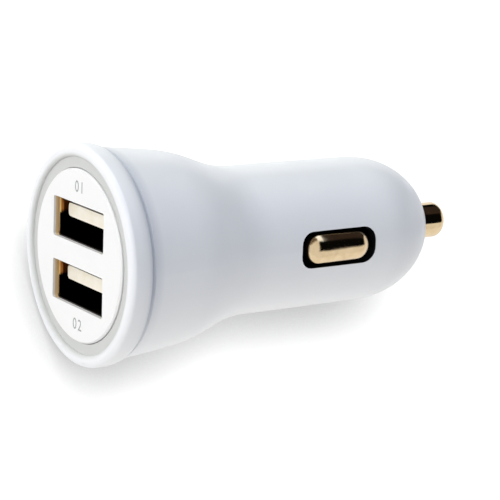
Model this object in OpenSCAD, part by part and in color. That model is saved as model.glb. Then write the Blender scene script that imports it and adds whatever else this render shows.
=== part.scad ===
// Plug for a vehicle's round accessory socket, with two stacked charging ports in a flared head.
// Z = 0 is the plane of the face rim and +Z runs to the sprung tip. The ports are long in X and
// stacked in Y. The sprung side contacts stand at +X and -X.

/* [Housing] */
// Radius of the parallel land that pilots the plug in its socket
barrel_r = 10.4; // [10.1:0.05:10.7]
// Loss of radius by draft from the land to the start of the nose
barrel_draft = 0.1; // [0.05:0.05:0.2]
// Wall thickness
wall = 1.7; // [1.5:0.05:1.8]
// Step from the bezel's side in to the housing's mouth
mouth_step = 0.6; // [0.5:0.05:0.8]
// Loss of radius along the head's gentle taper
taper_drop = 0.9; // [0.7:0.05:1.1]
// Length of the gentle taper
taper_len = 8; // [7.7:0.1:8.5]
// Length of the flare from the taper down to the barrel
flare_len = 13.8; // [13.2:0.1:14.6]
// How long the flare holds on to the taper's slope, and to the barrel's
flare_ease = 6.3; // [5.5:0.1:6.8]
// Length of the parallel land
land_len = 3.9; // [3.6:0.1:4.4]
// Length of the nose, from the end of the barrel to its flat end
nose_len = 10.7; // [10.4:0.1:11.1]
// How far the ellipse of the nose would reach past that flat end
nose_cut = 1.2; // [1.1:0.1:1.5]
// Thickness of the nose's end, from the tip's seat to the outside
nose_floor_t = 3.2; // [2.9:0.1:3.5]

/* [Side contacts] */
// Length of each window in the barrel
window_len = 12.4; // [12:0.1:12.9]
// Width of each window
window_w = 5.2; // [5:0.1:5.5]
// Radius of each window's corners
window_round = 1.9; // [1.7:0.1:2.2]
// Barrel left between the land and the window
window_lead = 0.4; // [0.3:0.1:0.8]
// Barrel left between the window and the nose
window_tail = 2.3; // [2:0.1:2.8]
// Gap between the dome and the window's end
dome_end_gap = 0.8; // [0.7:0.05:1.2]
// Gap between the dome and the window's long sides
dome_side_gap = 0.4; // [0.35:0.05:0.6]
// How far the dome stands out of the barrel
dome_proud = 0.8; // [0.6:0.05:0.9]
// Height of the dome's rounded crown
crown_h = 1.8; // [1.5:0.1:2]
// Thickness of the spring strip
strip_t = 0.4; // [0.3:0.05:0.45]
// How far the spring strip laps behind the window's long sides
strip_lap = 0.5; // [0.4:0.05:0.6]
// Length of the strip's foot on the board
foot_len = 3.2; // [2.6:0.1:3.4]
// Free strip between the foot and the window
free_len = 5; // [4.6:0.1:5.4]
// Strip past the window, behind the barrel wall
tail_len = 2; // [1.6:0.1:2.2]
// Turn of the strip when the dome is pressed in, in degrees
press_angle = 6; // [5:0.5:6.5]

/* [Face] */
// Height of the bezel from the rim plane to the housing's mouth
bezel_h = 3.3; // [3.1:0.1:3.7]
// Height of the bezel's straight side band
band_h = 1.6; // [1.4:0.1:1.9]
// Width of the rim
rim_w = 1.8; // [1.6:0.1:1.9]
// Radius of the rim's outer edge
rim_round = 0.8; // [0.6:0.1:0.9]
// Width of the flat that the plug stands on, between the rim's rounded edges
rim_flat = 0.4; // [0.3:0.05:0.5]
// Width of the groove between the rim and the face plate
groove_w = 1.5; // [1.3:0.05:1.6]
// Face plate left between the corners of the openings and its edge
plate_margin = 1.87; // [1.7:0.01:2]
// Depth of the plate's face below the rim
plate_sink = 0.15; // [0.1:0.05:0.3]
// Depth of the groove round the plate, from the rim
groove_depth = 0.55; // [0.5:0.05:0.8]
// Depth of the shadow line between the bezel and the housing
shadow_depth = 0.4; // [0.3:0.05:0.5]
// Width of that shadow line
shadow_w = 0.6; // [0.4:0.05:0.7]
// Depth of the plate's seat, from the rim
seat_depth = 1.4; // [1.35:0.05:1.5]
// Length of the plate's boss behind its seat, as far as the board's front edge
boss_len = 2.2; // [2:0.1:2.4]
// Width of the ledge that the plate sits on
ledge_w = 1; // [0.9:0.05:1]
// Thickness of that ledge
ledge_t = 1.4; // [1.2:0.1:1.5]
// Length of the skirt that plugs into the housing
skirt_len = 4.8; // [4.4:0.1:5.2]
// Thickness of the skirt
skirt_t = 1.2; // [1:0.1:1.3]

/* [Ports] */
// Distance of each metal shell from the board's face
shell_stand = 0.69; // [0.6:0.01:0.8]
// How much wider each opening in the plate is than the shell, at each end
opening_side = 0.4; // [0.3:0.05:0.5]
// How far the plate covers the shell's long edges
opening_cover = 0.11; // [0.05:0.01:0.2]
// Depth of plate in front of the metal shell
opening_lip = 0.6; // [0.4:0.05:0.7]
// Inner width of the metal shell
shell_w = 12.5; // [12.4:0.05:12.6]
// Inner height of the metal shell
shell_h = 5.12; // [5.08:0.02:5.18]
// Thickness of the shell's sheet
shell_t = 0.3; // [0.25:0.05:0.35]
// Length of the shell
shell_len = 13.2; // [12.8:0.1:13.6]
// Gap between the tongue and the shell's ends
tongue_side = 0.7; // [0.65:0.05:0.8]
// Thickness of the tongue
tongue_t = 1.84; // [1.8:0.02:1.9]
// Gap between the tongue and the shell above it
tongue_gap = 0.7; // [0.65:0.05:0.8]
// Distance of the tongue's end behind the shell's front
tongue_back = 0.95; // [0.8:0.05:1.2]
// Length of the insulator's block inside the shell
block_len = 3.2; // [2.8:0.1:3.6]
// Thickness of the insulator's flange behind the shell
flange_t = 0.8; // [0.6:0.1:1]

/* [Board] */
// Thickness of the circuit board
board_t = 1.6; // [1.5:0.05:1.7]
// Board standing out past each end of the shells, into its rails
board_side = 1.95; // [1.85:0.05:2]

/* [Tip] */
// Radius of the tip contact
tip_r = 2.6; // [2.4:0.05:2.8]
// How far the tip stands out of the nose
tip_out = 5.6; // [5.3:0.1:5.9]
// Radius of the rounding on the tip's end
tip_round = 1.4; // [1.2:0.1:1.8]
// How far the tip can be pressed in
tip_travel = 2.5; // [2:0.1:2.8]
// Radius of the tip's flange
tip_flange_r = 4.12; // [4:0.02:4.3]
// Thickness of the tip's flange
tip_flange_t = 1.2; // [1:0.1:1.4]
// Mean radius of the coil spring
spring_r = 2.85; // [2.8:0.05:2.95]
// Radius of the spring's wire
wire_r = 0.3; // [0.25:0.05:0.3]
// Length of the spring as fitted
spring_len = 11.8; // [11.2:0.1:12.2]
// Number of open turns
open_turns = 5; // [4:1:6]

/* [Hidden] */

$fn = 64;
fit_gap = 0.1;      // between pieces that are pushed together
run_gap = 0.08;     // radial clearance of the sliding tip
move_gap = 0.3;     // between a moving piece and what it passes
edge_break = 0.2;   // small chamfers
flare_steps = 18;
nose_steps = 14;
arc_steps = 8;

// The face, from the ports out to the housing's mouth
shell_out_w = shell_w + 2 * shell_t;
shell_out_h = shell_h + 2 * shell_t;
port_pitch = board_t + 2 * shell_stand + shell_out_h;
opening_w = shell_out_w + 2 * opening_side;
opening_h = shell_out_h - 2 * opening_cover;
plate_r = norm([opening_w, port_pitch + opening_h]) / 2 + plate_margin;
rim_in_r = plate_r + groove_w;
bezel_r = rim_in_r + rim_w;
mouth_r = bezel_r - mouth_step;
taper_r = mouth_r - taper_drop;
board_half = shell_out_w / 2 + board_side;

// Stations along the axis, from the rim to the tip
head_z = bezel_h;
taper_end_z = head_z + taper_len;
barrel_z = taper_end_z + flare_len;
land_end_z = barrel_z + land_len;
window_z = land_end_z + window_lead;
window_end_z = window_z + window_len;
barrel_end_z = window_end_z + window_tail;
nose_z = barrel_end_z + nose_len;
seat_z = nose_z - nose_floor_t;
skirt_end_z = head_z + skirt_len;
shell_z = plate_sink + opening_lip;
shell_end_z = shell_z + shell_len;
boss_end_z = seat_depth + boss_len;
board_z = boss_end_z;
hinge_z = window_z - free_len;
foot_z = hinge_z - foot_len;
foot_clear = 0.8;
shoulder_z = foot_z - foot_clear;
tip_back_z = seat_z - tip_flange_t;
cup_t = 0.4;
board_end_z = tip_back_z - spring_len - cup_t;
tip_end_z = nose_z + tip_out;

// Radii and distances from the axis
barrel_tail_r = barrel_r - barrel_draft;
nose_in_r = barrel_tail_r - wall;
nose_reach = nose_len + nose_cut;
taper_slope = (mouth_r - taper_r) / taper_len;
ledge_in_r = plate_r - ledge_w;
boss_r = ledge_in_r - fit_gap;
guide_r = tip_flange_r + run_gap;
guide_t = 1.2;
strip_w = window_w + 2 * strip_lap;
strip_gap = 0.25;
strip_x = sqrt(pow(nose_in_r, 2) - pow(strip_w / 2, 2)) - strip_gap - strip_t;
board_tail_half = strip_x - sin(press_angle) * (board_end_z - hinge_z) - move_gap;
dome_top_x = barrel_r + dome_proud;
dome_len = window_len - 2 * dome_end_gap;
dome_w = window_w - 2 * dome_side_gap;

// Outlines in the plane of radius and Z
function bezier(p, t) =
    pow(1 - t, 3) * p[0] + 3 * t * pow(1 - t, 2) * p[1] + 3 * t * t * (1 - t) * p[2] + pow(t, 3) * p[3];
function arc(centre, rx, rz, a0, a1, steps) =
    [for (i = [0:steps]) let (a = a0 + (a1 - a0) * i / steps) centre + [rx * cos(a), rz * sin(a)]];
function inset(points, d) = [for (p = points) [p[0] - d, p[1]]];
function reversed(points) = [for (i = [len(points) - 1:-1:0]) points[i]];
function mouth_outer_r(z) = mouth_r - taper_slope * (z - head_z);
function skirt_outer_r(z) = mouth_outer_r(z) - wall - fit_gap;

flare_guide = [[taper_r, taper_end_z],
    [taper_r - taper_slope * flare_ease, taper_end_z + flare_ease],
    [barrel_r, barrel_z - flare_ease],
    [barrel_r, barrel_z]];
head_path = concat(
    [for (i = [0:flare_steps]) bezier(flare_guide, i / flare_steps)],
    [[barrel_r, land_end_z]]);

function nose_path(d, to_z) = arc([0, barrel_end_z], barrel_tail_r - d, nose_reach - d, 0,
    asin((to_z - barrel_end_z) / (nose_reach - d)), nose_steps);

// A rectangle with round corners, as a closed outline
function rounded(w, h, r) = concat(
    arc([w / 2 - r, h / 2 - r], r, r, 0, 90, 5),
    arc([r - w / 2, h / 2 - r], r, r, 90, 180, 5),
    arc([r - w / 2, r - h / 2], r, r, 180, 270, 5),
    arc([w / 2 - r, r - h / 2], r, r, 270, 360, 5));

module block(low, high) {
    translate(low) cube(high - low);
}

module both_sides() {
    for (s = [0, 1]) mirror([s, 0, 0]) children();
}

// Housing
module housing_shell() {
    rotate_extrude() polygon(concat(
        [[mouth_r - wall, head_z], [mouth_r - shadow_depth, head_z],
            [mouth_r - shadow_depth, head_z + shadow_w / 2],
            [mouth_outer_r(head_z + shadow_w), head_z + shadow_w]],
        head_path,
        nose_path(0, nose_z),
        [[tip_r + run_gap, nose_z], [tip_r + run_gap, seat_z]],
        reversed(nose_path(wall, seat_z)),
        reversed(inset(head_path, wall))));
}

module window_cutter() {
    reach = 2 * mouth_r;
    translate([-reach / 2, 0, window_z + window_len / 2])
        rotate([90, 0, 90])
            linear_extrude(reach) polygon(rounded(window_w, window_len, window_round));
}

rail_lead = 0.6;
rail_tail = 1;
rail_z = skirt_end_z + rail_lead;
rail_end_z = shoulder_z - rail_tail;
rail_grip = 0.9;
rail_half = board_t / 2 + 1.1;

module rails() {
    difference() {
        intersection() {
            rotate_extrude() polygon(concat(
                [[0, head_z], [mouth_r - wall / 2, head_z]],
                inset(head_path, wall / 2),
                [[0, land_end_z]]));
            both_sides()
                block([board_half - rail_grip, -rail_half, rail_z], [mouth_r, rail_half, rail_end_z]);
        }
        slot_half = board_t / 2 + fit_gap;
        block([-board_half - fit_gap, -slot_half, rail_z - 1],
            [board_half + fit_gap, slot_half, rail_end_z + 1]);
    }
}

guide_lead = 1.8;
guide_len = tip_flange_t + tip_travel + guide_lead;
guide_rib_t = 1.2;
guide_rib_drop = 1;

module tip_guide() {
    guide_z = seat_z - guide_len;
    difference() {
        translate([0, 0, guide_z]) cylinder(r = guide_r + guide_t, h = guide_len + edge_break);
        translate([0, 0, guide_z - 1]) cylinder(r = guide_r, h = guide_len + 1);
        translate([0, 0, seat_z - 1]) cylinder(r = tip_r + run_gap, h = 2);
    }
    rib_low = guide_z + guide_rib_drop;
    rib_d = wall / 2;
    rib_path = arc([0, barrel_end_z], barrel_tail_r - rib_d, nose_reach - rib_d,
        asin((rib_low - barrel_end_z) / (nose_reach - rib_d)),
        asin((seat_z + edge_break - barrel_end_z) / (nose_reach - rib_d)), 6);
    rib_in = guide_r + guide_t / 2;
    for (a = [45:90:315]) rotate([90, 0, a]) linear_extrude(guide_rib_t, center = true)
        polygon(concat([[rib_in, rib_low]], rib_path, [[rib_in, seat_z + edge_break]]));
}

bead_back = 1.6;
bead_z = skirt_end_z - bead_back;
bead_r = 0.4;
bead_sink = 0.15;

module bead_ring(extra) {
    rotate_extrude() translate([skirt_outer_r(bead_z) - bead_sink, bead_z]) circle(bead_r + extra, $fn = 24);
}

module housing() {
    color("white") {
        difference() {
            housing_shell();
            window_cutter();
            bead_ring(fit_gap);
        }
        rails();
        tip_guide();
    }
}

// Face
module front_bezel() {
    rim_flat_r = bezel_r - rim_round - rim_flat;
    color("white") {
        rotate_extrude() polygon(concat(
            [[ledge_in_r, seat_depth], [plate_r + fit_gap, seat_depth], [plate_r + fit_gap, groove_depth],
                [rim_in_r, groove_depth]],
            arc([rim_flat_r, groove_depth], rim_flat_r - rim_in_r, groove_depth, 180, 270, arc_steps),
            arc([bezel_r - rim_round, rim_round], rim_round, rim_round, 270, 360, arc_steps),
            arc([mouth_r, band_h], bezel_r - mouth_r, bezel_h - band_h, 0, 90, arc_steps),
            [[skirt_outer_r(head_z), head_z], [skirt_outer_r(skirt_end_z), skirt_end_z],
                [skirt_outer_r(skirt_end_z) - skirt_t, skirt_end_z],
                [skirt_outer_r(skirt_end_z) - skirt_t, seat_depth + ledge_t],
                [ledge_in_r, seat_depth + ledge_t]]));
        bead_ring(0);
    }
}

shell_round = 0.65;
opening_round = 0.35;
boss_ring_t = 0.8;
boss_frame = 0.9;

module at_ports() {
    for (y = [-port_pitch / 2, port_pitch / 2]) translate([0, y, 0]) children();
}

module face_plate() {
    pocket_w = shell_out_w + 2 * fit_gap;
    pocket_h = shell_out_h + 2 * fit_gap;
    color("white") difference() {
        union() {
            rotate_extrude() polygon([[0, plate_sink], [plate_r - edge_break, plate_sink],
                [plate_r, plate_sink + edge_break], [plate_r, seat_depth], [0, seat_depth]]);
            difference() {
                translate([0, 0, plate_sink + edge_break])
                    cylinder(r = boss_r, h = boss_end_z - plate_sink - edge_break);
                difference() {
                    translate([0, 0, seat_depth]) cylinder(r = boss_r - boss_ring_t, h = boss_end_z);
                    frame_w = pocket_w + 2 * boss_frame;
                    frame_h = port_pitch + pocket_h + 2 * boss_frame;
                    block([-frame_w / 2, -frame_h / 2, 0], [frame_w / 2, frame_h / 2, 2 * boss_end_z]);
                }
            }
        }
        at_ports() {
            translate([0, 0, plate_sink - 1])
                linear_extrude(boss_end_z) polygon(rounded(opening_w, opening_h, opening_round));
            translate([0, 0, shell_z])
                linear_extrude(boss_end_z) polygon(rounded(pocket_w, pocket_h, shell_round + fit_gap));
        }
    }
}

// Receptacles. side is -1 for the upper port and 1 for the lower one
finger_w = 1.9;
finger_len = 5.6;
finger_slit = 0.35;
finger_z = shell_z + 3.4;
finger_x = 3.1;
leg_w = 1.4;
leg_ahead = 3;
leg_behind = 2.2;
leg_z = [shell_z + leg_ahead, shell_end_z - leg_behind - leg_w];

module finger_slits() {
    tall = 2 * shell_out_h;
    for (x = [-finger_x, finger_x]) translate([x, 0, finger_z]) {
        for (s = [-1, 1]) translate([s * finger_w / 2, 0, finger_len / 2])
            cube([finger_slit, tall, finger_len], center = true);
        translate([0, 0, finger_len]) cube([finger_w + finger_slit, tall, finger_slit], center = true);
    }
}

module usb_shell(side) {
    port_y = side * port_pitch / 2;
    color("goldenrod") {
        translate([0, port_y, 0]) difference() {
            translate([0, 0, shell_z])
                linear_extrude(shell_len) polygon(rounded(shell_out_w, shell_out_h, shell_round));
            translate([0, 0, shell_z - 1])
                linear_extrude(shell_len + 2) polygon(rounded(shell_w, shell_h, shell_round - shell_t));
            finger_slits();
        }
        leg_top = abs(port_y) - shell_h / 2 + shell_round;
        both_sides() for (z = leg_z) {
            low = min(side * leg_top, side * board_t / 2);
            high = max(side * leg_top, side * board_t / 2);
            block([shell_w / 2, low, z], [shell_out_w / 2, high, z + leg_w]);
        }
    }
}

pin_w = 1;
pin_t = 0.25;
pin_x = [-3.5, -1, 1, 3.5];
pin_groove = 0.2;
pin_clear = 0.05;
pin_front = 0.8;
pin_foot_len = 1.4;
tongue_z = shell_z + tongue_back;
tongue_w = shell_w - 2 * tongue_side;
tongue_round = 0.5;
insulator_end_z = shell_end_z + flange_t;
tongue_top = tongue_gap - shell_h / 2;
tongue_low = tongue_top + tongue_t;

module usb_insulator(side) {
    color("cornsilk") translate([0, side * port_pitch / 2, 0]) difference() {
        union() {
            translate([0, tongue_top + tongue_t / 2, tongue_z])
                linear_extrude(shell_end_z - tongue_z) polygon(rounded(tongue_w, tongue_t, tongue_round));
            translate([0, 0, shell_end_z - block_len])
                linear_extrude(block_len + flange_t)
                    polygon(rounded(shell_w - fit_gap, shell_h - fit_gap, shell_round - shell_t));
            translate([0, 0, shell_end_z])
                linear_extrude(flange_t) polygon(rounded(shell_out_w, shell_out_h, shell_round));
        }
        for (x = pin_x) block(
            [x - pin_w / 2 - pin_clear, tongue_low - pin_groove, tongue_z + pin_front - fit_gap],
            [x + pin_w / 2 + pin_clear, tongue_low - pin_groove + pin_t + pin_clear, insulator_end_z + 1]);
    }
}

module usb_contacts(side) {
    strip_y = side * port_pitch / 2 + tongue_low - pin_groove;
    board_y = side * board_t / 2;
    color("gold") for (x = pin_x) translate([x - pin_w / 2, 0, 0]) {
        // the bend behind the insulator, down to the board
        bend_z = insulator_end_z + fit_gap;
        block([0, strip_y, tongue_z + pin_front], [pin_w, strip_y + pin_t, bend_z + pin_t]);
        block([0, min(strip_y, board_y), bend_z], [pin_w, max(strip_y + pin_t, board_y), bend_z + pin_t]);
        block([0, min(board_y, board_y + side * pin_t), bend_z],
            [pin_w, max(board_y, board_y + side * pin_t), bend_z + pin_foot_len]);
    }
}

// Board and what is on it
module circuit_board() {
    outline = [[board_half, board_z], [board_half, shoulder_z], [strip_x, shoulder_z], [strip_x, hinge_z],
        [board_tail_half, hinge_z], [board_tail_half, board_end_z]];
    color("darkgreen") rotate([90, 0, 0]) linear_extrude(board_t, center = true)
        polygon(concat(outline, reversed([for (p = outline) [-p[0], p[1]]])));
}

parts_gap = 1.2;
parts_z = insulator_end_z + pin_foot_len + parts_gap;

chip_size = [3.9, 1.4, 4.9];
chip_from_strip = 4.17;
chip_x = strip_x - chip_from_strip;
chip_lift = 0.1;
chip_leg = [1.05, 0.2, 0.4];
chip_leg_in = 0.2;
chip_leg_pitch = 1.27;

module converter_chip() {
    face = -board_t / 2;
    color("dimgray") translate([chip_x, face, parts_z]) {
        block([-chip_size[0] / 2, -chip_size[1] - chip_lift, 0],
            [chip_size[0] / 2, -chip_lift, chip_size[2]]);
        both_sides() for (i = [0:3]) {
            z = chip_size[2] / 2 + (i - 1.5) * chip_leg_pitch;
            knee = chip_size[0] / 2 + chip_leg[0] / 2;
            tip = chip_size[0] / 2 + chip_leg[0];
            top = -chip_size[1] / 2 - chip_lift;
            low = z - chip_leg[2] / 2;
            high = z + chip_leg[2] / 2;
            block([chip_size[0] / 2 - chip_leg_in, top, low], [knee, top + chip_leg[1], high]);
            block([knee - chip_leg[1], top, low], [knee, 0, high]);
            block([knee - chip_leg[1], -chip_leg[1], low], [tip, 0, high]);
        }
    }
}

diode_size = [2.6, 2.1, 4.2];
diode_x = -4.6;
tab_w = 1.5;
tab_t = 0.2;
tab_len = 0.45;
tab_under = 1;

module rectifier_diode() {
    color("dimgray") translate([diode_x, board_t / 2, parts_z]) {
        block([-diode_size[0] / 2, tab_t, 0], [diode_size[0] / 2, diode_size[1], diode_size[2]]);
        for (z = [-tab_len, diode_size[2] - tab_under])
            block([-tab_w / 2, 0, z], [tab_w / 2, tab_t, z + tab_under + tab_len]);
        for (z = [-tab_len, diode_size[2]])
            block([-tab_w / 2, 0, z], [tab_w / 2, diode_size[1] / 2, z + tab_len]);
    }
}

coil_behind = 1.4;
coil_z = window_z + coil_behind;
coil_r = 3;
coil_waist_r = 1.5;
coil_h = 4.4;
coil_lip = 0.9;
coil_inset = 0.3;

module on_upper_face(z) {
    translate([0, -board_t / 2, z]) rotate([90, 0, 0]) children();
}

module inductor_core() {
    color("dimgray") on_upper_face(coil_z) rotate_extrude() polygon([[0, 0], [coil_r, 0], [coil_r, coil_lip],
        [coil_waist_r, coil_lip], [coil_waist_r, coil_h - coil_lip], [coil_r, coil_h - coil_lip],
        [coil_r, coil_h], [0, coil_h]]);
}

module inductor_winding() {
    color("peru") on_upper_face(coil_z) translate([0, 0, coil_lip]) difference() {
        cylinder(r = coil_r - coil_inset, h = coil_h - 2 * coil_lip);
        translate([0, 0, -1]) cylinder(r = coil_waist_r, h = coil_h);
    }
}

can_edge = 0.5;
crimp = 0.35;
crimp_w = 0.3;
crimp_back = 1.3;
lead_r = 0.3;
lead_in = 0.2;
lead_out = 1;

// A round capacitor lying along Z on the board, with its two leads bent down to the face. side as above
module capacitor(side, x, z, r, length, lead_x) {
    crimp_z = length - crimp_back - 3 * crimp_w;
    translate([x, side * (board_t / 2 + r), z]) {
        rotate_extrude() polygon([[0, 0], [r - can_edge, 0], [r, can_edge], [r, crimp_z],
            [r - crimp, crimp_z + crimp_w], [r - crimp, crimp_z + 2 * crimp_w], [r, crimp_z + 3 * crimp_w],
            [r, length], [0, length]]);
        for (s = [-1, 1]) translate([s * lead_x, 0, length]) {
            translate([0, 0, -lead_in]) cylinder(r = lead_r, h = lead_in + lead_out + lead_r, $fn = 24);
            translate([0, 0, lead_out]) rotate([side * 90, 0, 0]) cylinder(r = lead_r, h = r, $fn = 24);
        }
    }
}

input_can_r = 3.15;
input_can_len = 9.2;
input_can_behind = 0.4;
input_lead_x = 1.25;

module input_capacitor() {
    color("silver") capacitor(1, 0, hinge_z + input_can_behind, input_can_r, input_can_len, input_lead_x);
}

output_can_r = 2.5;
output_can_len = 6.2;
output_can_x = -3.1;
output_can_ahead = 0.4;
output_lead_x = 1;

module output_capacitor() {
    color("silver") capacitor(-1, output_can_x, parts_z - output_can_ahead, output_can_r, output_can_len,
        output_lead_x);
}

module chip_part(size, x, side, z) {
    translate([x, side * (board_t / 2 + size[1] / 2), z]) cube(size, center = true);
}

resistor = [1.25, 0.5, 2];
resistor_pitch = 2.3;
resistor_x = -1.4;
resistor_z = parts_z + 1.6;

module chip_resistors() {
    color("black") for (i = [0:3]) chip_part(resistor, resistor_x + i * resistor_pitch, 1, resistor_z);
}

ceramic = [2, 0.9, 1.25];
ceramic_pitch = 3.4;
ceramic_x = 0.6;
ceramic_row = 2.8;
tail_ceramic_x = 3.4;
tail_ceramic_ahead = 2.2;

module chip_capacitors() {
    color("tan") {
        for (i = [0, 1]) chip_part(ceramic, ceramic_x + i * ceramic_pitch, 1, resistor_z + ceramic_row);
        chip_part(ceramic, tail_ceramic_x, -1, board_end_z - tail_ceramic_ahead);
    }
}

// Side contact: a foot on the board's edge, a free strip, and a hollow dome pressed out of it
module dome_form(half_w, side_x, top_x, base_x) {
    crown = arc([0, side_x], half_w, top_x - side_x, 0, 90, arc_steps);
    run = dome_len - dome_w;
    mid_z = window_z + window_len / 2;
    for (s = [-1, 1]) translate([0, 0, mid_z + s * run / 2]) rotate([0, 90, 0]) rotate([0, 0, s * 90])
        rotate_extrude(angle = 180) polygon(concat([[0, base_x], [half_w, base_x]], crown));
    section = concat([[half_w, base_x]], crown);
    translate([0, 0, mid_z - run / 2]) linear_extrude(run)
        polygon([for (p = concat(section, reversed([for (q = section) [-q[0], q[1]]]))) [p[1], p[0]]]);
}

module side_contact() {
    strip_end_z = window_end_z + tail_len;
    dome_side_x = dome_top_x - crown_h;
    color("goldenrod") difference() {
        union() {
            block([strip_x, -strip_w / 2, foot_z], [strip_x + strip_t, strip_w / 2, strip_end_z]);
            dome_form(dome_w / 2, dome_side_x, dome_top_x, strip_x + strip_t / 2);
        }
        dome_form(dome_w / 2 - strip_t, dome_side_x, dome_top_x - strip_t, strip_x - 1);
    }
}

module side_contact_right() {
    side_contact();
}

module side_contact_left() {
    mirror([1, 0, 0]) side_contact();
}

// Tip, its spring and the cup that the spring stands in
cup_clear = 0.15;
cup_r = spring_r + wire_r + cup_clear;
cup_wall = 0.35;
cup_h = 3;
cup_leg_w = 3;
cup_leg_len = 2.6;

module spring_cup() {
    color("goldenrod") {
        translate([0, 0, board_end_z]) difference() {
            cylinder(r = cup_r + cup_wall, h = cup_h);
            translate([0, 0, cup_t]) cylinder(r = cup_r, h = cup_h);
        }
        for (s = [0, 1]) mirror([0, s, 0]) block([-cup_leg_w / 2, board_t / 2, board_end_z - cup_leg_len],
            [cup_leg_w / 2, board_t / 2 + cup_wall, board_end_z + cup_t / 2]);
    }
}

end_turns = 1;
turn_steps = 18;
wire_sides = 8;
turn_gap = 0.02;
closed_pitch = 2 * wire_r + turn_gap;
wire_half = wire_r * cos(180 / wire_sides);

// Height of the wire's centre after a number of turns: closed end turns and open ones between
function spring_height(turn) =
    let (open_len = spring_len - 2 * wire_half - 2 * end_turns * closed_pitch)
    turn < end_turns ? turn * closed_pitch
    : turn < end_turns + open_turns ? end_turns * closed_pitch + (turn - end_turns) * open_len / open_turns
    : end_turns * closed_pitch + open_len + (turn - end_turns - open_turns) * closed_pitch;

module tip_spring() {
    rings = (open_turns + 2 * end_turns) * turn_steps;
    points = [for (i = [0:rings]) let (turn = i / turn_steps, a = 360 * turn, z = spring_height(turn))
        for (k = [0:wire_sides - 1]) let (b = 360 * (k + 0.5) / wire_sides, r = spring_r + wire_r * cos(b))
            [r * cos(a), r * sin(a), z + wire_r * sin(b)]];
    walls = [for (i = [0:rings - 1]) for (k = [0:wire_sides - 1]) let (n = (k + 1) % wire_sides)
        [i * wire_sides + k, i * wire_sides + n, (i + 1) * wire_sides + n, (i + 1) * wire_sides + k]];
    start = [for (k = [wire_sides - 1:-1:0]) k];
    end = [for (k = [0:wire_sides - 1]) rings * wire_sides + k];
    color("silver") translate([0, 0, board_end_z + cup_t + wire_half])
        polyhedron(points, concat([start], walls, [end]), convexity = 12);
}

spigot_clear = 0.25;
spigot_r = spring_r - wire_r - spigot_clear;
spigot_len = 1.8;

module tip_contact() {
    color("goldenrod") rotate_extrude() polygon(concat(
        [[0, tip_back_z - spigot_len], [spigot_r - edge_break, tip_back_z - spigot_len],
            [spigot_r, tip_back_z - spigot_len + edge_break], [spigot_r, tip_back_z],
            [tip_flange_r, tip_back_z], [tip_flange_r, seat_z], [tip_r, seat_z]],
        arc([tip_r - tip_round, tip_end_z - tip_round], tip_round, tip_round, 0, 90, arc_steps),
        [[0, tip_end_z]]));
}

housing();
front_bezel();
face_plate();
usb_shell(-1);  // usb_shell_upper
usb_shell(1);  // usb_shell_lower
usb_insulator(-1);  // usb_insulator_upper
usb_insulator(1);  // usb_insulator_lower
usb_contacts(-1);  // usb_contacts_upper
usb_contacts(1);  // usb_contacts_lower
circuit_board();
converter_chip();
rectifier_diode();
inductor_core();
inductor_winding();
input_capacitor();
output_capacitor();
chip_resistors();
chip_capacitors();
side_contact_right();
side_contact_left();
spring_cup();
tip_spring();
tip_contact();
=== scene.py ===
"""Looks of a round socket plug with two charging ports: materials, spring, print, stage, lamps, camera."""

import math
from functools import cached_property

import bpy
from mathutils import Matrix, Vector


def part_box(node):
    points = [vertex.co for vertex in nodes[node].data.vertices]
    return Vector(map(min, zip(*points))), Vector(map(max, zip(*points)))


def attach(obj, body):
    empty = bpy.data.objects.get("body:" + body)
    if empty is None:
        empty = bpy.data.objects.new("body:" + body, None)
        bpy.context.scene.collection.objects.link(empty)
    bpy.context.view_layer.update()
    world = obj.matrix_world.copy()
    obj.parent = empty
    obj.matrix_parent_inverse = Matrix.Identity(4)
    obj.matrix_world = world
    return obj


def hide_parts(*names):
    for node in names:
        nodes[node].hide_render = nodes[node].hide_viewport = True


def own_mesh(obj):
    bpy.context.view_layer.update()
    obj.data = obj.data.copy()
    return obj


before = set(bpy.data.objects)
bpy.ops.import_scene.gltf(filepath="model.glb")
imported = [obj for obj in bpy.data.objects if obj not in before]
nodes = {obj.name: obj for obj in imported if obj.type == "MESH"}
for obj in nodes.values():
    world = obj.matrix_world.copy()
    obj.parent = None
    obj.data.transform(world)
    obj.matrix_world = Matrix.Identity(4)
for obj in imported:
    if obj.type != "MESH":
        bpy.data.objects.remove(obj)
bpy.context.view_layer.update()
MM = 0.001


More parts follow.
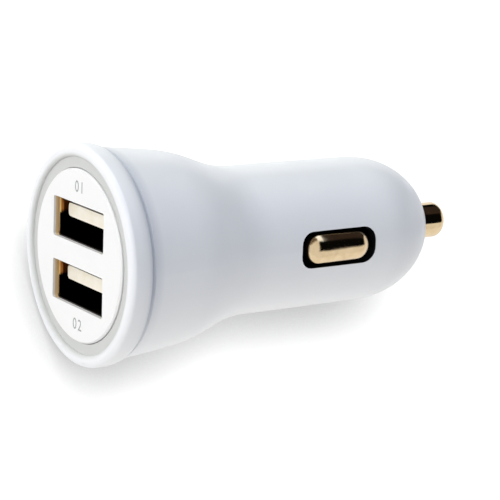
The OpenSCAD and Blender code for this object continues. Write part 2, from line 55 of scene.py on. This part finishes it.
# ---------------------------------------------------------------- node trees
class Nodes:
    """The node tree of a material or world, with short calls that add and join its nodes."""

    def __init__(self, owner, empty=True):
        owner.use_nodes = True
        self.tree = owner.node_tree
        if empty:
            self.tree.nodes.clear()

    def node(self, kind, **settings):
        made = self.tree.nodes.new(kind)
        for key, value in settings.items():
            setattr(made, key, value)
        return made

    def link(self, out, into):
        self.tree.links.new(out, into)

    @cached_property
    def place(self):
        """Object coordinates, in metres."""
        return self.node("ShaderNodeTexCoord").outputs["Object"]

    def axis(self, letter):
        """Distance along one axis of the part, in metres."""
        made = self.node("ShaderNodeSeparateXYZ")
        self.link(self.place, made.inputs["Vector"])
        return made.outputs[letter]

    def from_axis(self):
        """Distance from the part's axis, in metres."""
        squares = [self.maths("POWER", self.axis(letter), 2.0) for letter in ("X", "Y")]
        return self.maths("SQRT", self.maths("ADD", *squares))

    def maths(self, operation, first, second=None):
        made = self.node("ShaderNodeMath", operation=operation)
        for socket, value in zip(made.inputs, (first, second)):
            if isinstance(value, (int, float)):
                socket.default_value = value
            elif value is not None:
                self.link(value, socket)
        return made.outputs["Value"]

    def product(self, first, *others):
        for other in others:
            first = self.maths("MULTIPLY", first, other)
        return first

    def spread(self, value, low, high, from_low=0.0, from_high=1.0, **settings):
        """Maps a value from one range to another, held at its ends."""
        made = self.node("ShaderNodeMapRange", **settings)
        ranges = {"From Min": from_low, "From Max": from_high, "To Min": low, "To Max": high}
        for socket, number in ranges.items():
            made.inputs[socket].default_value = number
        self.link(value, made.inputs["Value"])
        return made.outputs["Result"]

    def ramp(self, distance, span_mm, low=0.0, high=1.0):
        """Goes from low to high as a distance passes through span_mm."""
        return self.spread(distance, low, high, span_mm[0] * MM, span_mm[1] * MM)

    def blend(self, factor, first, second):
        """A colour between two, each a colour or another output."""
        made = self.node("ShaderNodeMix", data_type="RGBA")
        self.link(factor, made.inputs[0])
        for socket, value in ((made.inputs[6], first), (made.inputs[7], second)):
            if isinstance(value, tuple):
                socket.default_value = (*value, 1)
            else:
                self.link(value, socket)
        return made.outputs[2]

    def plain(self, kind, colour, strength=None):
        """A shader of one colour, such as an Emission, which also has a strength."""
        made = self.node(kind)
        made.inputs["Color"].default_value = (*colour, 1)
        if strength is not None:
            made.inputs["Strength"].default_value = strength
        return made

    def choose(self, factor, first, second):
        """One shader node where factor is 0, and another where it is 1."""
        made = self.node("ShaderNodeMixShader")
        self.link(factor, made.inputs[0])
        self.link(first.outputs[0], made.inputs[1])
        self.link(second.outputs[0], made.inputs[2])
        return made


# ---------------------------------------------------------------- materials
class Shader(Nodes):
    """A Principled material with short calls for what varies over the surface."""

    def __init__(self, name, colour, roughness, **sockets):
        self.material = bpy.data.materials.new(name)
        super().__init__(self.material, empty=False)
        self.principled = self.tree.nodes["Principled BSDF"]
        self.principled.inputs["Base Color"].default_value = (*colour, 1)
        self.principled.inputs["Roughness"].default_value = roughness
        for socket, value in sockets.items():
            self.principled.inputs[socket.replace("_", " ")].default_value = value
        self.last_normal = None

    def stretched(self, scale):
        """Object coordinates with each axis scaled, for grain that runs one way."""
        mapping = self.node("ShaderNodeMapping")
        mapping.inputs["Scale"].default_value = scale
        self.link(self.place, mapping.inputs["Vector"])
        return mapping.outputs["Vector"]

    def noise(self, per_metre, detail=3.0, roughness=0.5, vector=None):
        made = self.node("ShaderNodeTexNoise")
        made.inputs["Scale"].default_value = per_metre
        made.inputs["Detail"].default_value = detail
        made.inputs["Roughness"].default_value = roughness
        self.link(vector or self.place, made.inputs["Vector"])
        return made.outputs["Fac"]

    def colour(self, out):
        self.link(out, self.principled.inputs["Base Color"])

    def roughness(self, out):
        self.link(out, self.principled.inputs["Roughness"])

    def mottle(self, per_metre, first, second, detail=3.0):
        """Varies the base colour between two by noise."""
        self.colour(self.blend(self.noise(per_metre, detail), first, second))

    def soft_edges(self, radius_mm):
        """Rounds the corners between the faces of a curved form, so that it reflects as one surface."""
        made = self.node("ShaderNodeBevel", samples=6)
        made.inputs["Radius"].default_value = radius_mm * MM
        self.last_normal = made.outputs["Normal"]

    def bump(self, height, depth_mm, strength=1.0):
        made = self.node("ShaderNodeBump")
        made.inputs["Distance"].default_value = depth_mm * MM
        made.inputs["Strength"].default_value = strength
        self.link(height, made.inputs["Height"])
        if self.last_normal is not None:
            self.link(self.last_normal, made.inputs["Normal"])
        self.last_normal = made.outputs["Normal"]
        self.link(self.last_normal, self.principled.inputs["Normal"])


def moulded(name, light, dark, roughness, peel_mm=0.0015, coat=0.15):
    """Glossy moulded plastic: faint flow tints, a slightly uneven shine and fine orange peel.

    Roughness runs from 0.8 to 1.25 times the value given. Where it crosses 0.27, the denoiser leaves marks.
    """
    made = Shader(name, light, roughness, Coat_Weight=coat, Coat_Roughness=0.1, IOR=1.5)
    made.flow = made.blend(made.spread(made.noise(90), 0, 1, 0.3, 0.7), light, dark)
    made.colour(made.flow)
    made.roughness(made.spread(made.noise(400, 4), roughness * 0.8, roughness * 1.25, 0.3, 0.7))
    made.bump(made.noise(1400, 2), peel_mm, 0.5)
    return made


def plated(name, light, dark, roughness, grain=(9000, 9000, 900), soft_edge_mm=None):
    """Plated metal: tarnish in soft patches, fine scratches along grain, and an uneven polish."""
    made = Shader(name, light, roughness, Metallic=1.0)
    if soft_edge_mm:
        made.soft_edges(soft_edge_mm)
    patches = made.spread(made.noise(700, 5, 0.6), 0, 1, 0.42, 0.7)
    made.tarnish = made.blend(patches, light, dark)
    made.colour(made.tarnish)
    lines = made.noise(1.0, 3, 0.6, made.stretched(grain))
    polish = made.maths("ADD", made.spread(lines, 0, roughness * 0.5, 0.4, 0.75),
                        made.spread(made.noise(500, 3), roughness * 0.8, roughness * 1.2, 0.3, 0.7))
    made.roughness(polish)
    made.bump(lines, 0.0006, 0.35)
    return made


WHITE = (0.87, 0.885, 0.91)
# These stand for shade and are painted: the black, the two greys and the two port colours. The gold lip is
# the metal's own colour.
SHADE_BLACK = (0.006, 0.006, 0.007)
GROOVE_SHADE_GREY = (0.6, 0.61, 0.6)
CREASE_SHADE_GREY = (0.63, 0.66, 0.72)
LIP_GOLD = (0.88, 0.66, 0.36)
PORT_SHADE_DARK = (0.012, 0.006, 0.003)
PORT_SHADE_BROWN = (0.32, 0.12, 0.03)

# Where the materials change, in millimetres along an axis or from the part's own axis. Most of them bound
# painted shade: on the window walls and the contact strips, in the crease behind the bezel, in the groove,
# and deep in the ports and on their tongues.
# The upper port's top is at Y = -PORT_TOP. PORT_FLOOR and BROWN_DOWN are distances down from a port's top.
WINDOW_START, WINDOW_END = 29.0, 42.2
WINDOW_HALF = 2.7
WINDOW_WALL_R = 10.26
CREASE_FADE_Y = (1.0, 10.0)
MOUTH_SHADE_Z = (3.3, 5.4)
BEZEL_BACK_Z = (2.6, 3.2)
GROOVE_FADE_R = (13.4, 14.0)
GROOVE_FADE_Z = (1.6, 1.7)
OPENING_R = 9.8
OPENING_SIDE_X = (5.9, 6.15)
LIP_Z = (0.46, 0.52)
PORT_PITCH = 8.7
PORT_TOP = 6.91
PORT_DARK_Z = (0.78, 1.0)
PORT_FLOOR = (4.7, 5.0)
BROWN_X = (-6.2, -6.0)
BROWN_DOWN = (1.7, 2.1)
BROWN_Z = (2.2, 3.6)
TONGUE_FADE_Z = (3.0, 7.0)
STRIP_TO_DOME_X = (8.3, 9.0)
DOME_MIDDLE_Z = 35.6
DOME_ARCH_R = 30.0

# The housing: white, with grey painted shade at its front end by the bezel, mostly in the upper half, and the
# walls of its two windows painted matt black as shade
shell = moulded("white_shell", WHITE, (0.845, 0.862, 0.895), 0.36)
window_wall_shade = shell.product(
    shell.maths("LESS_THAN", shell.from_axis(), WINDOW_WALL_R * MM),
    shell.maths("LESS_THAN", shell.maths("ABSOLUTE", shell.axis("Y")), WINDOW_HALF * MM),
    shell.maths("GREATER_THAN", shell.axis("Z"), WINDOW_START * MM),
    shell.maths("LESS_THAN", shell.axis("Z"), WINDOW_END * MM))
mouth_shade = shell.product(shell.ramp(shell.axis("Y"), CREASE_FADE_Y, 1.0, 0.25),
                      shell.ramp(shell.axis("Z"), MOUTH_SHADE_Z, 1.0, 0.0))
shell.colour(shell.blend(window_wall_shade, shell.blend(mouth_shade, shell.flow, CREASE_SHADE_GREY), SHADE_BLACK))

# The bezel: white, with grey painted shade in its groove and behind its side
bezel = moulded("white_bezel", WHITE, (0.85, 0.866, 0.896), 0.36)
groove_shade = bezel.product(bezel.ramp(bezel.from_axis(), GROOVE_FADE_R, 1.0, 0.0),
                          bezel.ramp(bezel.axis("Z"), GROOVE_FADE_Z, 1.0, 0.0))
bezel_back_shade = bezel.product(bezel.ramp(bezel.axis("Y"), CREASE_FADE_Y, 1.0, 0.15),
                           bezel.ramp(bezel.axis("Z"), BEZEL_BACK_Z))
bezel.colour(bezel.blend(bezel_back_shade, bezel.blend(groove_shade, bezel.flow, GROOVE_SHADE_GREY), CREASE_SHADE_GREY))

# The plate: white, with the metal lip of each port showing in the deeper part of its openings' sides
plate = moulded("white_plate", (0.9, 0.9, 0.905), (0.888, 0.89, 0.896), 0.45, 0.001, coat=0.0)
port_lip = plate.product(plate.maths("LESS_THAN", plate.from_axis(), OPENING_R * MM),
                         plate.ramp(plate.axis("Z"), LIP_Z),
                         plate.ramp(plate.maths("ABSOLUTE", plate.axis("X")), OPENING_SIDE_X))
plate.colour(plate.blend(port_lip, plate.flow, LIP_GOLD))

# The ports' shells: bright edges, and painted shade: brownish in one upper corner, dark further in and along
# the floor
gilt = plated("gilt_shell", (0.86, 0.6, 0.26), (0.7, 0.42, 0.15), 0.12)
down_port = gilt.maths("MODULO", gilt.maths("ADD", gilt.axis("Y"), PORT_TOP * MM), PORT_PITCH * MM)
port_corner_shade = gilt.product(gilt.ramp(gilt.axis("X"), BROWN_X, 1.0, 0.0),
                     gilt.ramp(down_port, BROWN_DOWN, 1.0, 0.0),
                     gilt.ramp(gilt.axis("Z"), BROWN_Z, 1.0, 0.0))
port_depth_shade = gilt.maths("MAXIMUM", gilt.ramp(gilt.axis("Z"), PORT_DARK_Z), gilt.ramp(down_port, PORT_FLOOR))
gilt.colour(gilt.blend(port_depth_shade, gilt.tarnish, gilt.blend(port_corner_shade, PORT_SHADE_DARK, PORT_SHADE_BROWN)))

# The tongues' blocks: cream, with painted shade darkening them deep in the port
cream = Shader("cream_insulator", (0.95, 0.9, 0.78), 0.35, IOR=1.5)
cream_patches = cream.spread(cream.noise(600, 3), 0, 1, 0.35, 0.7)
cream_tint = cream.blend(cream_patches, (0.96, 0.91, 0.8), (0.9, 0.83, 0.68))
cream.colour(cream.blend(cream.ramp(cream.axis("Z"), TONGUE_FADE_Z), cream_tint, (0.03, 0.02, 0.012)))
cream.bump(cream.noise(2500, 2), 0.003, 0.4)

gold = plated("gold_contact", (0.9, 0.66, 0.28), (0.74, 0.5, 0.18), 0.18, (9000, 9000, 300))

# Side contacts: the domes are bright, and the strip that they are pressed from is painted black as shade
spring = plated("plated_spring", (0.69, 0.54, 0.34), (0.62, 0.47, 0.28), 0.07, soft_edge_mm=0.6)
along = spring.maths("SUBTRACT", spring.axis("Z"), DOME_MIDDLE_Z * MM)
arch = spring.maths("DIVIDE", spring.product(along, along), -2 * DOME_ARCH_R * MM)
spring.bump(arch, 1 / MM)
outward = spring.maths("ABSOLUTE", spring.axis("X"))
spring.colour(spring.blend(spring.ramp(outward, STRIP_TO_DOME_X), SHADE_BLACK, spring.tarnish))

tip = plated("plated_tip", (0.7, 0.55, 0.345), (0.63, 0.48, 0.285), 0.06, (300, 300, 14000), 0.3)
cup = plated("brass_cup", (0.78, 0.58, 0.26), (0.6, 0.4, 0.15), 0.36)
wire = plated("steel_wire", (0.62, 0.62, 0.63), (0.45, 0.45, 0.46), 0.15)
can = plated("can", (0.74, 0.75, 0.77), (0.6, 0.61, 0.63), 0.36, (900, 900, 9000))

# The board: green lacquer over raised tracks
board = Shader("board", (0.02, 0.16, 0.06), 0.35, Coat_Weight=0.4, Coat_Roughness=0.12)
cells = board.node("ShaderNodeTexVoronoi", feature="DISTANCE_TO_EDGE")
cells.inputs["Scale"].default_value = 420
board.link(board.place, cells.inputs["Vector"])
tracks = board.spread(cells.outputs["Distance"], 1, 0, 0.05, 0.09)
board.colour(board.blend(tracks, (0.02, 0.15, 0.055), (0.05, 0.3, 0.11)))
board.bump(tracks, 0.02, 0.6)

package = Shader("black_package", (0.02, 0.02, 0.022), 0.5)
package.roughness(package.spread(package.noise(1500, 4), 0.4, 0.62, 0.3, 0.7))
package.bump(package.noise(6000, 2), 0.006, 0.6)

ferrite = Shader("ferrite", (0.055, 0.055, 0.06), 0.6)
ferrite.mottle(2600, (0.035, 0.035, 0.04), (0.09, 0.09, 0.095), 5)
ferrite.bump(ferrite.noise(5200, 4), 0.02, 0.7)

# The inductor's winding: lacquered turns side by side
copper = Shader("copper_wire", (0.7, 0.28, 0.1), 0.25, Metallic=1.0, Coat_Weight=0.6, Coat_Roughness=0.1)
turns = copper.node("ShaderNodeTexWave", bands_direction="Y")
turns.inputs["Scale"].default_value = 900
copper.link(copper.place, turns.inputs["Vector"])
copper.colour(copper.blend(turns.outputs["Fac"], (0.4, 0.13, 0.04), (0.78, 0.34, 0.13)))
copper.bump(turns.outputs["Fac"], 0.08, 0.8)

ceramic = Shader("ceramic", (0.42, 0.28, 0.16), 0.4)
ceramic.mottle(3200, (0.36, 0.23, 0.13), (0.5, 0.35, 0.21), 4)

print_ink = Shader("print_ink", (0.3, 0.31, 0.32), 0.5)
print_ink.mottle(5000, (0.26, 0.27, 0.28), (0.36, 0.37, 0.38), 4)

FINISH = {
    "housing": shell,
    "front_bezel": bezel,
    "face_plate": plate,
    "usb_shell_upper": gilt,
    "usb_shell_lower": gilt,
    "usb_insulator_upper": cream,
    "usb_insulator_lower": cream,
    "usb_contacts_upper": gold,
    "usb_contacts_lower": gold,
    "circuit_board": board,
    "converter_chip": package,
    "rectifier_diode": package,
    "inductor_core": ferrite,
    "inductor_winding": copper,
    "input_capacitor": can,
    "output_capacitor": can,
    "chip_resistors": package,
    "chip_capacitors": ceramic,
    "side_contact_right": spring,
    "side_contact_left": spring,
    "spring_cup": cup,
    "tip_spring": wire,
    "tip_contact": tip,
}
for node_name, finish in FINISH.items():
    slots = nodes[node_name].data.materials
    slots.clear()
    slots.append(finish.material)


# ---------------------------------------------------------------- objects
def add_object(name, data):
    made = bpy.data.objects.new(name, data)
    bpy.context.scene.collection.objects.link(made)
    return made


def add_mesh(name, points, faces, material):
    mesh = bpy.data.meshes.new(name)
    mesh.from_pydata(points, [], faces)
    mesh.materials.append(material)
    return add_object(name, mesh)


# ---------------------------------------------------------------- the tip's spring
COIL_RADIUS = 2.85 * MM
COIL_WIRE = 0.277 * MM
COIL_CLOSED_GAP = 0.05 * MM
COIL_OPEN_TURNS = 5
coil_foot, coil_top = (corner.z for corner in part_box("tip_spring"))


def coil_spring(name, turn_steps=32, sides=12):
    """Round wire in open turns between one closed turn at each end, as long as the CAD spring."""
    closed_pitch = 2 * COIL_WIRE + COIL_CLOSED_GAP
    open_pitch = (coil_top - coil_foot - 2 * COIL_WIRE - 2 * closed_pitch) / COIL_OPEN_TURNS
    rings = (COIL_OPEN_TURNS + 2) * turn_steps
    points = []
    for ring in range(rings + 1):
        turn = ring / turn_steps
        opened = min(max(0, turn - 1), COIL_OPEN_TURNS)
        height = coil_foot + COIL_WIRE + (turn - opened) * closed_pitch + opened * open_pitch
        for side in range(sides):
            around = math.tau * side / sides
            reach = COIL_RADIUS + COIL_WIRE * math.cos(around)
            points.append((reach * math.cos(math.tau * turn), reach * math.sin(math.tau * turn),
                           height + COIL_WIRE * math.sin(around)))
    walls = []
    for start in range(0, rings * sides, sides):
        for side in range(sides):
            beside = (side + 1) % sides
            walls.append((start + side, start + sides + side, start + sides + beside, start + beside))
    caps = [tuple(range(sides)), tuple(reversed(range(rings * sides, (rings + 1) * sides)))]
    piece = add_mesh(name, points, walls + caps, wire.material)
    piece.data.polygons.foreach_set("use_smooth", [True] * len(walls) + [False] * len(caps))
    return piece


tip_coil = coil_spring("tip_coil")
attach(tip_coil, "charger")
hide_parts("tip_spring")
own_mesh(tip_coil)

# ---------------------------------------------------------------- print on the face plate
INK_DEPTH = 0.008 * MM
LETTER_SPACING = 1.25
DIGIT_SHARE = 0.7  # height of a digit as a share of the font's size


def printed(name, words, centre_mm, height_mm):
    """A thin printed number on the plate, read from in front of the face with -Y up."""
    curve = bpy.data.curves.new(name, "FONT")
    curve.body = words
    curve.size = height_mm * MM / DIGIT_SHARE
    curve.align_x = "CENTER"
    curve.align_y = "CENTER"
    curve.extrude = INK_DEPTH
    curve.space_character = LETTER_SPACING
    text = add_object(name + "_text", curve)
    bpy.context.view_layer.update()
    mesh = bpy.data.meshes.new_from_object(text)
    bpy.data.objects.remove(text)
    mesh.name = name
    mesh.materials.clear()
    mesh.materials.append(print_ink.material)
    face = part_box("face_plate")[0].z
    mesh.transform(Matrix.Translation((centre_mm[0] * MM, centre_mm[1] * MM, face))
                   @ Matrix.Rotation(math.pi, 4, "X"))
    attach(add_object(name, mesh), "charger")


printed("upper_port_number", "01", (0.2, -9.35), 1.55)
printed("lower_port_number", "02", (0.2, 9.45), 1.55)

# ---------------------------------------------------------------- stage
PAPER_GLOW = 0.95
PAPER_TONE = (0.25, 0.25, 0.25)
SHADE_REACH = 8.5 * MM
SHADE_RANGE = (0.3, 0.92)
SHADE_DEPTH = 0.35
FLOOR_Z = -0.4 * MM
NO_LIGHT = ("diffuse", "transmission", "shadow", "volume_scatter")


def hide_from(made, *rays):
    for ray in rays:
        setattr(made, "visible_" + ray, False)


def paper(name):
    """Pale and one-sided: white where nothing stands over it, with the object's soft shadow."""
    made = bpy.data.materials.new(name)
    tree = Nodes(made)
    near = tree.node("ShaderNodeAmbientOcclusion", samples=8)
    near.inputs["Distance"].default_value = SHADE_REACH
    glow = tree.plain("ShaderNodeEmission", (1, 1, 1))
    shade = tree.spread(near.outputs["AO"], SHADE_DEPTH * PAPER_GLOW, PAPER_GLOW, *SHADE_RANGE)
    tree.link(shade, glow.inputs["Strength"])
    lit = tree.node("ShaderNodeAddShader")
    tree.link(tree.plain("ShaderNodeBsdfDiffuse", PAPER_TONE).outputs[0], lit.inputs[0])
    tree.link(glow.outputs[0], lit.inputs[1])
    behind = tree.node("ShaderNodeNewGeometry").outputs["Backfacing"]
    surface = tree.choose(behind, lit, tree.node("ShaderNodeBsdfTransparent"))
    tree.link(surface.outputs[0], tree.node("ShaderNodeOutputMaterial").inputs["Surface"])
    return made


def sheet(name, centre, normal, half):
    """A square of paper that faces along normal."""
    normal = Vector(normal).normalized()
    across = normal.orthogonal().normalized()
    up = normal.cross(across)
    centre = Vector(centre)
    corners = [centre + half * (a * across + b * up) for a, b in ((-1, -1), (1, -1), (1, 1), (-1, 1))]
    made = add_mesh(name, corners, [(0, 1, 2, 3)], paper(name + "_paper"))
    hide_from(made, *NO_LIGHT)
    return made


floor = sheet("floor", (0, 0, FLOOR_Z), (0, 0, 1), 1.2)
hide_from(floor, "glossy")

# The sheet that the plug lies on in the main view: it touches the bezel's rim and passes close to the barrel.
# Each place is a distance from the part's axis and a Z.
TABLE_TURN = math.radians(-40)
RIM_TOUCH = (15.4 * MM, 1.0 * MM)
BARREL_TOUCH = (12.6 * MM, 44.0 * MM)
table_lean = (RIM_TOUCH[0] - BARREL_TOUCH[0]) / (BARREL_TOUCH[1] - RIM_TOUCH[1])
table_out = Vector((math.cos(TABLE_TURN), math.sin(TABLE_TURN), 0))
sheet("table", table_out * -RIM_TOUCH[0] + Vector((0, 0, RIM_TOUCH[1])),
      table_out - Vector((0, 0, table_lean)), 0.5)


def dark_wall(name, angles, reach, z_range, colour, low_colour=None, fade=None, steps=24):
    """Part of a drum round the plug, seen in metal alone. Its colour is low_colour below fade."""
    material = bpy.data.materials.new(name)
    tree = Nodes(material)
    glow = tree.plain("ShaderNodeEmission", colour)
    if low_colour:
        height = tree.spread(tree.axis("Z"), 0, 1, *fade, interpolation_type="SMOOTHSTEP")
        tree.link(tree.blend(height, low_colour, colour), glow.inputs["Color"])
    tree.link(glow.outputs[0], tree.node("ShaderNodeOutputMaterial").inputs["Surface"])
    turned = [math.radians(angles[0] + (angles[1] - angles[0]) * i / steps) for i in range(steps + 1)]
    points = [(reach * math.cos(a), reach * math.sin(a), z) for a in turned for z in z_range]
    faces = [(2 * i, 2 * i + 1, 2 * i + 3, 2 * i + 2) for i in range(steps)]
    made = add_mesh(name, points, faces, material)
    hide_from(made, "camera", *NO_LIGHT)


# A dark room above the table in the main view, and paler screens in it
dark_wall("dark_room", (-147, 12), 0.9, (-0.1, 2.4), (0.004, 0.004, 0.004))
dark_wall("dim_screen", (-104, -48), 0.85, (-0.12, 2.3), (0.04, 0.03, 0.027), (1.5, 1.7, 2.1), (0.24, 0.46))
dark_wall("low_screen_left", (95, 140), 0.9, (-2.0, -0.02), (0.2, 0.15, 0.11))
dark_wall("low_screen_right", (-95, -60), 0.9, (-2.0, -0.13), (0.2, 0.15, 0.11))

# ---------------------------------------------------------------- light
LAMP_TARGET = Vector((0, 0, 0.03))


def lamp(name, direction, distance, size, power, colour=(1, 1, 1)):
    """A soft lamp that stands in a direction from the plug and faces it."""
    data = bpy.data.lights.new(name, "AREA")
    data.shape = "RECTANGLE"
    data.size, data.size_y = size
    data.energy = power
    data.color = colour
    made = add_object(name, data)
    direction = Vector(direction).normalized()
    made.location = LAMP_TARGET + direction * distance
    made.rotation_euler = direction.to_track_quat("Z", "Y").to_euler()
    hide_from(made, "glossy")


lamp("face_softbox", (0.15, -0.25, -1.0), 0.7, (0.6, 0.6), 2.9, (1.0, 0.99, 0.95))
lamp("head_fill", (0.4, -1.0, -0.9), 0.7, (0.6, 0.6), 1.3, (0.97, 0.96, 1.0))
lamp("top_softbox", (-0.8, -1.0, 0.1), 0.7, (0.9, 0.4), 1.8, (0.97, 1.0, 0.78))
lamp("upper_fill", (0.45, -1.0, 0.1), 0.7, (0.8, 0.5), 1.15, (0.74, 0.82, 1.0))
lamp("front_fill", (1.0, -0.3, 0.0), 0.8, (0.7, 0.7), 0.55, (0.74, 0.83, 1.0))
lamp("low_bounce", (0.15, 1.0, 0.1), 0.8, (0.9, 0.9), 4.0, (1.0, 0.955, 0.89))
lamp("left_fill", (-1.0, -0.1, -0.8), 0.8, (0.6, 0.6), 0.6)
lamp("back_fill", (-1.0, 0.3, 0.5), 0.9, (0.7, 0.7), 1.4, (0.95, 1.0, 1.0))

# The world lights softly, and is white where it is seen
world = bpy.data.worlds.new("studio")
bpy.context.scene.world = world
sky = Nodes(world)
ray = sky.node("ShaderNodeLightPath").outputs
seen = sky.maths("MAXIMUM", ray["Is Camera Ray"], ray["Is Glossy Ray"])
seen = sky.maths("MAXIMUM", seen, ray["Is Transmission Ray"])
sky_shader = sky.choose(seen, sky.plain("ShaderNodeBackground", (0.97, 0.985, 1.0), 0.32),
                        sky.plain("ShaderNodeBackground", (1, 1, 1), 1.0))
sky.link(sky_shader.outputs[0], sky.node("ShaderNodeOutputWorld").inputs["Surface"])

# ---------------------------------------------------------------- camera
CAMERA_PLACE = Vector((252.636, -66.209, -137.216)) * MM
CAMERA_RIGHT = Vector((0.539602, -0.033963, 0.841235))
CAMERA_DOWN = Vector((0.202887, 0.974985, -0.090777))
CAMERA_AHEAD = Vector((-0.817108, 0.219659, 0.532995))
camera_data = bpy.data.cameras.new("camera")
camera_data.sensor_width = 36
camera_data.lens = 158.72
camera_data.clip_start = 0.01
camera_data.clip_end = 20
camera = add_object("camera", camera_data)
turn = Matrix((CAMERA_RIGHT, -CAMERA_DOWN, -CAMERA_AHEAD)).transposed()
camera.matrix_world = Matrix.Translation(CAMERA_PLACE) @ turn.to_4x4()
bpy.context.scene.camera = camera
bpy.context.scene.view_settings.view_transform = "Standard"
